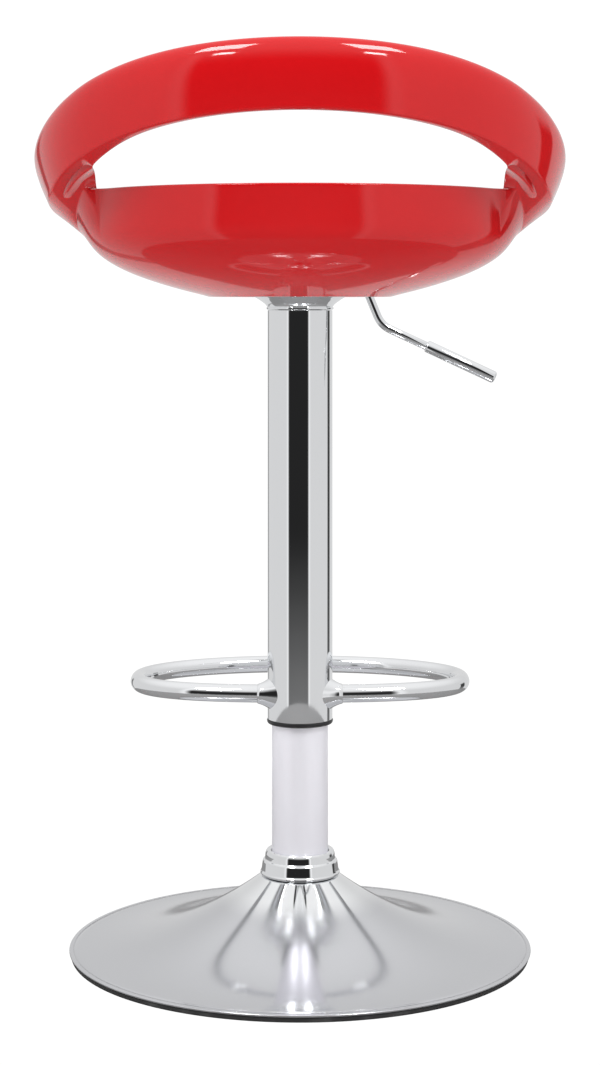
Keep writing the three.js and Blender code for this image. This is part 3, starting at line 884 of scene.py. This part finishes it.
@dataclass
class SeatMoulding:
    """Red bucket seat: the bowl and its back band in one shell, and the pan inside it."""

    maker: MeshMaker
    half_width: float = 238 * MM
    half_depth: float = 198 * MM
    back_z: float = field(default_factory=lambda: extent("seat_shell")[1].z)
    bottom_z: float = field(default_factory=lambda: extent("seat_shell")[0].z)
    back_rise: float = 117.5 * MM
    front_drop: float = 24.5 * MM
    band_height: float = 60 * MM
    band_growth: float = 10 * MM
    band_wall: float = 11 * MM
    lip_inset: float = 4 * MM
    lip_drop: float = 8 * MM
    bowl_inset: float = 48 * MM
    bowl_depth_inset: float = 36 * MM
    bowl_wall: float = 5 * MM
    rim_wall: float = 8 * MM
    crease_height: float = 51.6 * MM
    mouth: float = 74 * MM
    rim_end: float = 24.2
    band_end: float = 38.5
    crease_inset: float = 41 * MM
    post_inset: float = 34 * MM
    post_wall: float = 12 * MM
    arm_inset: float = 14.5 * MM
    cove: float = 3 * MM
    foot_run: float = 5.0
    foot_ease: float = 0.45
    pan_skin: float = 4.5 * MM
    pan_gap: float = 1 * MM
    pan_height: float = 47.6 * MM
    subdivisions: int = 2

    RIM_ROW = 9
    BAND_ROW = 11
    PAN_ROW = 7
    # Shares of the bowl's width and of its height, from the rolled mouth up to the crease.
    BOWL_SWEEP = ((0.0, 0.074), (0.035, 0.0), (0.134, 0.062), (0.33, 0.167), (0.63, 0.38),
                  (0.822, 0.594), (0.933, 0.787), (1.0, 1.0))

    @property
    def rim_z(self) -> float:
        """Height of the bowl's rear rim."""
        return self.back_z - self.back_rise

    @property
    def crease_z(self) -> float:
        """Height of the crease between the bowl and its flanks."""
        return self.bottom_z + self.crease_height

    def crest(self, rear: float) -> float:
        """Height of the top edge; rear runs from -1 at the front to 1 at the back."""
        share = (1 + rear) / 2
        rise = 2.05 * share**2 - 1.05 * share**3
        return mixed(self.rim_z - self.front_drop, self.back_z, rise)

    @staticmethod
    def from_side(angle: float) -> float:
        """Degrees behind the side: 0 at the side, 90 at the back, -90 at the front."""
        return math.degrees(math.asin(held(math.sin(angle), -1.0, 1.0)))

    def band_angle(self, angle: float) -> float:
        """Where a column's upper part lies: the band meets the arms farther back."""
        side = self.from_side(angle)
        if side > self.rim_end:
            share = (90 - side) / (90 - self.rim_end)
        else:
            share = held((side + 16) / (self.rim_end + 16))
        turn = math.radians(share * (self.band_end - self.rim_end))
        return angle + math.copysign(turn, math.cos(angle))

    def climb(self, side: float) -> float:
        """How far the crease under an arm has climbed towards the rim."""
        return held((side + 4) / (self.rim_end + 4)) ** 1.35

    def on_outline(self, inset: float, depth_inset: float, z: float, angle: float) -> Vector:
        """A point inside the seat's outline.

        Args:
            inset: distance inside it across the width.
            depth_inset: distance inside it along the depth.
            z: height.
            angle: angle round the seat, in radians.

        Returns:
            The point.
        """
        return Vector((
            (self.half_width - inset) * math.cos(angle),
            (self.half_depth - depth_inset) * math.sin(angle), z))

    def bowl_rows(self, angle: float) -> list[Vector]:
        """The bowl's skin from its mouth up to the crease."""
        across = self.half_width - self.mouth
        along = self.half_depth - self.mouth
        return [
            self.on_outline(
                mixed(across, self.bowl_inset, out), mixed(along, self.bowl_depth_inset, out),
                mixed(self.bottom_z, self.crease_z, up), angle)
            for out, up in self.BOWL_SWEEP
        ]

    def is_cut(self, angle: float) -> bool:
        """Whether the opening passes over this angle of the rim."""
        return self.from_side(angle) > self.rim_end + 0.1

    def rim_point(self, angle: float) -> Vector:
        """The bowl's rim at one angle, as it runs under the opening."""
        return self.on_outline(self.bowl_inset + MM, self.bowl_inset - 20 * MM, self.rim_z, angle)

    def edge_point(self, angle: float) -> Vector:
        """The rim behind, the crease under the arms and round the front."""
        if self.is_cut(angle):
            near = 1 - held((self.from_side(angle) - self.rim_end) / self.foot_run)
            post = self.on_outline(self.post_inset, 0.65 * self.post_inset, self.rim_z, angle)
            return self.rim_point(angle).lerp(post, self.foot_ease * near**2)
        climb = self.climb(self.from_side(angle))
        inset = mixed(self.crease_inset, self.post_inset, climb)
        low = mixed(self.crease_z, self.crest(math.sin(angle)), 0.08)
        return self.on_outline(inset, 0.65 * inset, mixed(low, self.rim_z, climb), angle)

    def upper_rows(self, angle: float) -> list[Vector]:
        """The band, or the flank that it turns into, from its lower edge up to the crest.

        Args:
            angle: angle round the seat, in radians.

        Returns:
            One point for each row.
        """
        upper = self.band_angle(angle)
        rear = math.sin(upper)
        crest = self.crest(rear)
        height = self.band_height + self.band_growth * (1 - rear)
        free = self.freedom(angle)
        stations = (
            (self.arm_inset, 0.4, self.lip_inset, 0.0), (6.5 * MM, 0.64, 1.5 * MM, 0.3),
            (1.5 * MM, 0.84, 0.0, 0.58), (1.2 * MM, 0.92, 1.3 * MM, 0.8),
            (3 * MM, 0.97, 4 * MM, 0.93), (6 * MM, 1.0, 8.5 * MM, 1.0),
        )
        rows = []
        for flank_inset, flank_share, band_inset, band_share in stations:
            flank = self.on_outline(flank_inset, 0.65 * flank_inset,
                                    mixed(self.crease_z, crest, flank_share), upper)
            band = self.on_outline(band_inset, band_inset,
                                   crest - height * (1 - band_share), upper)
            rows.append(flank.lerp(band, free))
        return rows

    def freedom(self, angle: float) -> float:
        """1 where the band stands free, 0 where it is one with the flank."""
        return ease(self.from_side(self.band_angle(angle)), 2, 34)

    def skin_rows(self, angle: float) -> list[Vector]:
        """The whole outer skin at one angle, from the mouth below to the crest."""
        bowl = self.bowl_rows(angle)
        edge = self.edge_point(angle)
        upper = self.upper_rows(angle)
        under_arm = edge.lerp(upper[0], 0.5) + Vector((0, 0, self.cove * self.freedom(angle)))
        foot = edge.lerp(self.rim_point(angle), 0.8 * self.climb(self.from_side(angle)) ** 6)
        return [*bowl, bowl[self.PAN_ROW].lerp(foot, 0.5), edge, under_arm, *upper]

    def wall_rows(self, angle: float) -> list[float]:
        """Distance from the skin to the inner face for each row above the pan."""
        free = self.freedom(angle)
        thickening = self.climb(self.from_side(angle))
        edge = self.rim_wall if self.is_cut(angle) else mixed(
            self.rim_wall, self.post_wall, thickening)
        band = self.band_wall
        return [self.rim_wall - MM, edge, self.post_wall, band + 0.5 * MM, band + 0.5 * MM, band,
                mixed(10, 9.7, free) * MM, mixed(8, 6.8, free) * MM, mixed(5, 4.5, free) * MM]

    def hang(self, angle: float) -> float:
        """How far the band's inner lower edge hangs below the outer one."""
        side = self.from_side(self.band_angle(angle))
        if side > self.band_end:
            return self.lip_drop * held((62 - side) / (62 - self.band_end)) ** 3
        return self.lip_drop * held((side - 10) / (self.band_end - 10))

    def inner_rows(self, angle: float) -> list[Vector]:
        """The inner face: square to the skin in the bowl, level with it above the pan.

        Args:
            angle: angle round the seat, in radians.

        Returns:
            One point for each row of the skin.
        """
        rows = self.skin_rows(angle)
        step = 0.02
        after, before = self.skin_rows(angle + step), self.skin_rows(angle - step)
        walls = self.wall_rows(angle)
        inner = []
        for row, point in enumerate(rows):
            if row <= self.PAN_ROW:
                upward = rows[row + 1] - rows[max(row - 1, 0)]
                normal = (after[row] - before[row]).cross(upward).normalized()
                inner.append(point - normal * self.bowl_wall)
                continue
            reach = 1 - walls[row - self.PAN_ROW - 1] / math.hypot(point.x, point.y)
            drop = self.hang(angle) if row == self.BAND_ROW else 0.0
            inner.append(Vector((point.x * reach, point.y * reach, point.z - drop)))
        return inner

    @staticmethod
    def between(rows: Sequence[Vector], row: float) -> Vector:
        """The point at a row number, which may lie between two whole ones."""
        first = min(int(row), len(rows) - 2)
        return rows[first].lerp(rows[first + 1], row - first)

    def angles(self) -> tuple[list[float], int]:
        """Angles round the seat, close together where the arms meet the bowl.

        Returns:
            The angles in radians, starting at the opening's left end, and how many cells of the
            rim lie under the opening.
        """
        end = self.rim_end
        near = [end + 0.5, end + 1.6, end + 3.6]
        far = [180 - a for a in reversed(near)]
        middle = [near[-1] + (far[0] - near[-1]) * i / 26 for i in range(1, 26)]
        rear = [end, *near, *middle, *far]
        side = [end - 0.7, end - 2.5, end - 5.5, end - 9, 11.5, 7.5, 3.5, -1, -6, -12, -19]
        left = [180 - a for a in (end, *side)]
        front = [199 + 142 * i / 18 for i in range(1, 18)]
        right = [360 + a for a in reversed(side)]
        return [math.radians(a) for a in (*rear, *left, *front, *right)], len(rear)

    def build(self) -> None:
        """Makes the shell and the pan."""
        self.build_shell()
        self.build_pan()

    def build_shell(self) -> None:
        """The shell, from a control cage whose open cells are the cut-out."""
        angles, rear_count = self.angles()
        rim, band = self.RIM_ROW, self.BAND_ROW
        rows = [0, 1, 1.5, 2, 3, 4, 5, 6, 7, 7.5, 8, 8.5, rim - 0.1, rim, rim + 0.3,
                rim + 1, rim + 1.7, band, band + 0.12, band + 0.5, 12, 13, 14, 15, 16]
        first_open, last_open = rows.index(rim), rows.index(band)
        skins = [self.skin_rows(a) for a in angles]
        faces = [self.inner_rows(a) for a in angles]
        outer = [[self.between(skin, r) for r in rows] for skin in skins]
        inner = [[self.between(face, r) for r in rows] for face in faces]
        piece = self.walled(
            "seat_shell_fine", outer, inner,
            lambda i, j: i < rear_count and first_open <= j < last_open)
        self.finish(piece, "seat_shell")

    def pan_point(self, edge: Vector, share: float) -> Vector:
        """The sitting face: level at the centre, rising to the shell's wall at share 1."""
        reach = (1 - self.pan_gap / math.hypot(edge.x, edge.y)) * share
        dish = self.bottom_z + self.pan_height
        lip = edge.z + self.pan_skin + self.pan_gap
        return Vector((edge.x * reach, edge.y * reach, mixed(dish, lip, share**3)))

    def build_pan(self) -> None:
        """The pan, a thin dish with a softened edge."""
        skin = Vector((0, 0, self.pan_skin))
        edges = [self.inner_rows(2 * math.pi * i / 96)[self.PAN_ROW] for i in range(96)]
        shares = [0.02, 0.12, 0.25, 0.4, 0.55, 0.7, 0.82, 0.91, 0.965, 0.99, 1.0]
        top = [[self.pan_point(edge, s) for s in shares] for edge in edges]
        under = [[p - skin for p in row] for row in top]
        piece = self.walled("seat_pan_fine", under, top, lambda i, j: False, True)
        self.finish(piece, "seat_pan")

    def walled(
        self, name: str, outer: list[list[Vector]], inner: list[list[Vector]],
        is_open: Callable[[int, int], bool], has_centre: bool = False,
    ) -> bpy.types.Object:
        """A closed wall between two grids that run round; open cells are walled across.

        Args:
            name: the piece's name.
            outer: points of the outer face, by angle and row.
            inner: points of the inner face.
            is_open: says whether a cell is left out.
            has_centre: whether the first row closes over the axis instead of edging a hole.

        Returns:
            The piece.
        """
        columns, rows = len(outer), len(outer[0])
        points = [p for grid in (outer, inner) for column in grid for p in column]
        faces: list[Sequence[int]] = []

        def at(side: int, i: int, j: int) -> int:
            """Number of the point in column i and row j of one face."""
            return (side * columns + i % columns) * rows + j

        def missing(i: int, j: int) -> bool:
            """Whether there is no wall in this cell."""
            return not 0 <= j < rows - 1 or is_open(i % columns, j)

        for i in range(columns):
            for j in range(rows - 1):
                if missing(i, j):
                    continue
                faces.append((at(0, i, j), at(0, i + 1, j), at(0, i + 1, j + 1), at(0, i, j + 1)))
                faces.append((at(1, i, j), at(1, i, j + 1), at(1, i + 1, j + 1), at(1, i + 1, j)))
                if missing(i, j - 1) and not (has_centre and j == 0):
                    faces.append((at(0, i, j), at(1, i, j), at(1, i + 1, j), at(0, i + 1, j)))
                if missing(i, j + 1):
                    faces.append((at(0, i, j + 1), at(0, i + 1, j + 1),
                                  at(1, i + 1, j + 1), at(1, i, j + 1)))
                if missing(i - 1, j):
                    faces.append((at(0, i, j), at(0, i, j + 1), at(1, i, j + 1), at(1, i, j)))
                if missing(i + 1, j):
                    faces.append((at(0, i + 1, j), at(1, i + 1, j),
                                  at(1, i + 1, j + 1), at(0, i + 1, j + 1)))
        if has_centre:
            faces.append([at(0, i, 0) for i in reversed(range(columns))])
            faces.append([at(1, i, 0) for i in range(columns)])
        return self.maker.mesh(name, points, faces)

    def finish(self, piece: bpy.types.Object, node: str) -> None:
        """Smooths a cage and settles it on the column.

        Args:
            piece: the cage.
            node: the CAD node it stands for.
        """
        smooth = piece.modifiers.new("smooth_skin", "SUBSURF")
        smooth.levels = smooth.render_levels = self.subdivisions
        piece.visible_glossy = False    # the chrome shows the room, not the seat's red
        self.maker.settle(piece, Slot.RED, Body.COLUMN, node)


# ---------------------------------------------------------------- release lever


@dataclass
class ReleaseLever:
    """Bent rod with its pivot boss, and the sleeve on its end."""

    maker: MeshMaker
    radius: float = 3.75 * MM
    pivot: Vector = field(default_factory=lambda: sum(extent("lever_pin"), Vector()) / 2)
    # Run outwards and drop of each place on the lever, from its pivot.
    knee: Point2 = (26 * MM, 0.0)
    elbow: Point2 = (42.5 * MM, 40 * MM)
    grip: Point2 = (83 * MM, 58.6 * MM)
    tip: Point2 = (144.3 * MM, 87.2 * MM)
    inner_end: Point2 = (-32 * MM, 0.0)
    bend: float = 9 * MM
    grip_radius: float = 5.5 * MM
    boss_radius: float = 6 * MM
    boss_bore: float = 2.8 * MM
    boss_half: float = 12.5 * MM

    def spot(self, place: Point2) -> Vector:
        """The point that lies a run and a drop away from the pivot."""
        return self.pivot + Vector((-place[0], 0, -place[1]))

    def path(self) -> list[Vector]:
        """Centre line of the rod, with eased bends.

        Returns:
            Its points, from the valve button out to the sleeve's end.
        """
        tip = self.spot(self.tip)
        run = (tip - self.spot(self.grip)).normalized()
        corners = [self.spot(place) for place in (self.inner_end, self.knee, self.elbow)]
        corners.append(tip - run * 3 * MM)
        points = [corners[0]]
        for before, here, after in zip(corners, corners[1:], corners[2:]):
            start = here + (before - here).normalized() * self.bend
            finish = here + (after - here).normalized() * self.bend
            points += [
                start.lerp(here, t).lerp(here.lerp(finish, t), t)
                for t in (k / 14 for k in range(15))
            ]
        return [*points, corners[-1]]

    def build(self) -> None:
        """Makes the rod and the sleeve."""
        path = self.path()
        rod = self.maker.swept("lever_rod_fine", path, self.radius, Vector((0, 1, 0)), 28)
        self.maker.settle(rod, Slot.CHROME, Body.LEVER, "lever_rod")
        self.build_boss()
        self.build_grip()

    def build_boss(self) -> None:
        """The cross tube that turns on the pivot pin."""
        half, bore, outer = self.boss_half, self.boss_bore, self.boss_radius
        outline = rounded([
            (bore, -half, 0.4 * MM), (outer, -half, 0.6 * MM),
            (outer, half, 0.6 * MM), (bore, half, 0.4 * MM),
        ])
        boss = self.maker.turned("lever_boss", outline, 48)
        boss.data.transform(Vector((0, 0, 1)).rotation_difference(Vector((0, 1, 0))).to_matrix()
                            .to_4x4())
        for vertex in boss.data.vertices:
            vertex.co += self.pivot
        self.maker.settle(boss, Slot.CHROME, Body.LEVER)

    def build_grip(self) -> None:
        """The bright sleeve, stepped up from the rod and rounded at its tip."""
        start, end = self.spot(self.grip), self.spot(self.tip)
        length = (end - start).length
        r = self.grip_radius
        stations = [
            (0.0, self.radius + 0.1 * MM), (0.0, r - 0.9 * MM), (0.3 * MM, r - 0.35 * MM),
            (0.9 * MM, r), (length * 0.5, r), (length - 2.2 * MM, r),
            (length - 1.2 * MM, r - 0.35 * MM), (length - 0.45 * MM, r - 1.1 * MM),
            (length - 0.05 * MM, r - 2.4 * MM), (length, 0.6 * MM),
        ]
        along = (end - start).normalized()
        side = along.cross(Vector((0, 1, 0)))
        sides = 36
        points = [
            start + along * s
            + (side * math.cos(a) + Vector((0, 1, 0)) * math.sin(a)) * radius
            for s, radius in stations
            for a in (2 * math.pi * k / sides for k in range(sides))
        ]
        count = len(stations)
        faces = [*self.maker.bands(count, sides), *self.maker.caps(count, sides)]
        piece = self.maker.mesh("lever_grip_fine", points, faces)
        self.maker.settle(piece, Slot.CHROME, Body.LEVER, "lever_grip")


# ---------------------------------------------------------------- carried-over nodes


@dataclass
class InnerWorks:
    """CAD nodes whose shape is right: they get their finish and softened edges."""

    maker: MeshMaker
    edge: float = 0.25 * MM

    def dress(self) -> None:
        """Gives every shown CAD node its slot's material and a small edge."""
        for part in frame["record"]["subparts"]:
            node = frame["nodes"][part["node"]]
            if node.hide_render:
                continue
            slot = Slot(part["material_slot"])
            node.data.materials.clear()
            node.data.materials.append(self.maker.looks[slot])
            soften = node.modifiers.new("soft_edges", "BEVEL")
            soften.width = self.edge
            soften.segments = 2
            soften.limit_method = "ANGLE"
            soften.angle_limit = math.radians(40)
            LOG.info("%s carried over as %s", node.name, slot.value)


# ---------------------------------------------------------------- studio


@dataclass(frozen=True)
class SoftBox:
    """A lamp with a white front: bearing and rise in degrees, sizes in metres, watts."""

    name: str
    bearing: float
    rise: float
    width: float
    height: float
    power: float


@dataclass
class Studio:
    """Pale floor, soft surround, soft boxes and the camera."""

    distance: float = 2.0
    height: float = 0.5776
    lens: float = 75.7
    drop: float = -0.2153
    near_floor: float = 0.75
    floor_tone: float = 0.95
    # painted shade: the floor's dim tone where it shows in reflections
    floor_painted_shade_in_gloss: float = 0.24
    seen_white: float = 1.05
    light_reach: float = 2.2
    light_aim: float = 0.78

    BOXES = (
        SoftBox("soft_box", 37, 46, 0.7, 0.62, 22),
        SoftBox("narrow_box", 30, 27, 0.3, 0.14, 3),
    )

    def build(self) -> None:
        """Makes the floor, the surround, the lights and the camera."""
        self.build_floor()
        self.build_surround()
        self.build_lights()
        self.build_camera()

    def build_floor(self) -> None:
        """A near disc and a far ring, of the same pale paint: white to the camera, and a painted
        shade, a dim tone, where it shows in reflections.
        """
        made, sheet = new_material("pale_floor")
        speck = sheet.noise(3.0, 2.0)
        pale, painted_dim_tone = (self.floor_tone,) * 3, (self.floor_painted_shade_in_gloss,) * 3
        # painted shade: glossy rays see the floor in a dim tone, which darkens its reflections
        in_gloss = sheet.node("ShaderNodeLightPath", output="Is Glossy Ray")
        paint = sheet.node("ShaderNodeBsdfPrincipled", None, {
            "Base Color": sheet.tint((in_gloss + speck * 0.03).at_most(1.0), pale, painted_dim_tone),
            "Roughness": 0.9})
        white = sheet.node("ShaderNodeEmission", None, {"Strength": self.seen_white})
        seen = sheet.node("ShaderNodeLightPath", output="Is Camera Ray")
        sheet.node_output(sheet.node("ShaderNodeMixShader", None, {0: seen, 1: paint, 2: white}))
        radii = {"floor_near": (0.0, self.near_floor), "floor_far": (self.near_floor, 40.0)}
        for name, (inner, outer) in radii.items():
            floor = MeshMaker.mesh(name, *self.annulus(inner, outer))
            floor.data.materials.append(made)
            floor.visible_glossy = name == "floor_near"

    @staticmethod
    def annulus(inner: float, outer: float) -> tuple[list[Vector], list[tuple[int, ...]]]:
        """Points and faces of a flat ring on the floor.

        Args:
            inner: inner radius.
            outer: outer radius.

        Returns:
            Points and faces.
        """
        count = 96
        z = -0.0004
        turns = [2 * math.pi * i / count for i in range(count)]
        points = [Vector((outer * math.cos(a), outer * math.sin(a), z)) for a in turns]
        if inner == 0.0:
            return points, [tuple(range(count))]
        points += [Vector((inner * math.cos(a), inner * math.sin(a), z)) for a in turns]
        faces = [
            (i, (i + 1) % count, count + (i + 1) % count, count + i) for i in range(count)
        ]
        return points, faces

    def build_surround(self) -> None:
        """A white room with a dark bay on the side that the camera stands on."""
        world = bpy.data.worlds.new("soft_surround")
        bpy.context.scene.world = world
        world.use_nodes = True
        sheet = NodeSheet(world.node_tree)
        direction = sheet.node("ShaderNodeTexCoord", output="Generated")
        x, y, z = (
            sheet.node("ShaderNodeSeparateXYZ", None, {0: direction}, axis) for axis in range(3))
        turn = sheet.node("ShaderNodeMath", {"operation": "ARCTAN2"}, {0: x, 1: y})
        level = self.wall_light(turn, z)
        seen = sheet.node("ShaderNodeLightPath", output="Is Camera Ray")
        strength = level * (1 - seen) + seen * self.seen_white
        shader = sheet.node(
            "ShaderNodeBackground", None, {"Color": (1.0, 1.0, 1.0, 1.0), "Strength": strength})
        sheet.node_output(shader, "ShaderNodeOutputWorld")

    @staticmethod
    def strip(turn: Value, low: float, high: float, soft: float = 1.5) -> Value:
        """1 between two bearings, in degrees, with soft edges."""
        start, end, edge = math.radians(low), math.radians(high), math.radians(soft)
        return turn.ramp(start - edge, start + edge) * turn.ramp(end - edge, end + edge, 1.0, 0.0)

    def wall_light(self, turn: Value, z: Value) -> Value:
        """Brightness of the room by bearing and rise.

        Args:
            turn: bearing from +Y, positive towards +X, in radians.
            z: rise of the direction.

        Returns:
            The brightness.
        """
        below_ceiling = z.ramp(0.22, 0.62, 1.0, 0.0)
        bay = self.strip(turn, -30, 41, 3.0) * below_ceiling
        slit_reach = z.ramp(0.05, 0.2, 1.0, 0.0)
        slit_right = self.strip(turn, -131, -115) * slit_reach
        slit_left = self.strip(turn, 146, 154) * slit_reach
        edge_left = self.strip(turn, 41, 47, 3.0)
        edge_right = self.strip(turn, -36, -30, 3.0)
        dark = bay.at_least(slit_right * 0.95).at_least(slit_left * 0.8)
        floor_glow = z.ramp(-0.42, -0.1, 0.24, 0.0)
        wall = 0.74 + z.ramp(0.3, 0.95) * 0.24 + (edge_left + edge_right) * 0.2
        return wall * (1 - dark) + dark * (0.02 + floor_glow)

    def build_lights(self) -> None:
        """On each side behind the camera, a large soft box and a narrow one below it."""
        for side, sign in (("left", 1), ("right", -1)):
            for box in self.BOXES:
                self.build_box(box, side, sign)

    def build_box(self, box: SoftBox, side: str, sign: int) -> None:
        """A soft box that faces the seat.

        Args:
            box: its place, size and power.
            side: "left" or "right", for its name.
            sign: 1 to stand it towards +X, -1 towards -X.
        """
        turn, lift = math.radians(sign * box.bearing), math.radians(box.rise)
        aim = Vector((0, 0, self.light_aim))
        spot = Vector((math.cos(lift) * math.sin(turn), math.cos(lift) * math.cos(turn),
                       math.sin(lift)))
        name = f"{box.name}_{side}"
        light = bpy.data.lights.new(name, "AREA")
        light.shape = "RECTANGLE"
        light.size, light.size_y = box.width, box.height
        light.energy = box.power
        lamp = bpy.data.objects.new(name, light)
        lamp.location = aim + spot * self.light_reach
        lamp.rotation_euler = spot.to_track_quat("Z", "Y").to_euler()
        bpy.context.scene.collection.objects.link(lamp)

    def build_camera(self) -> None:
        """A level camera behind the stool, looking at its back."""
        data = bpy.data.cameras.new("view_from_behind")
        data.lens = self.lens
        data.sensor_width = 36
        data.shift_y = self.drop
        camera = bpy.data.objects.new("view_from_behind", data)
        camera.location = (0, self.distance, self.height)
        camera.rotation_euler = (math.radians(90), 0, math.radians(180))
        bpy.context.scene.collection.objects.link(camera)
        bpy.context.scene.camera = camera


def main() -> None:
    """Builds the studio and the stool in order."""
    logging.basicConfig(level=logging.INFO, format="%(name)s: %(message)s")
    bpy.context.scene.view_settings.view_transform = "Standard"
    Studio().build()
    maker = MeshMaker(finishes())
    for assembly in (TrumpetBase(maker), Column(maker), Footrest(maker), SeatMoulding(maker),
                     ReleaseLever(maker)):
        LOG.info("building %s", type(assembly).__name__)
        assembly.build()
    InnerWorks(maker).dress()


if __name__ == "__main__":
    main()
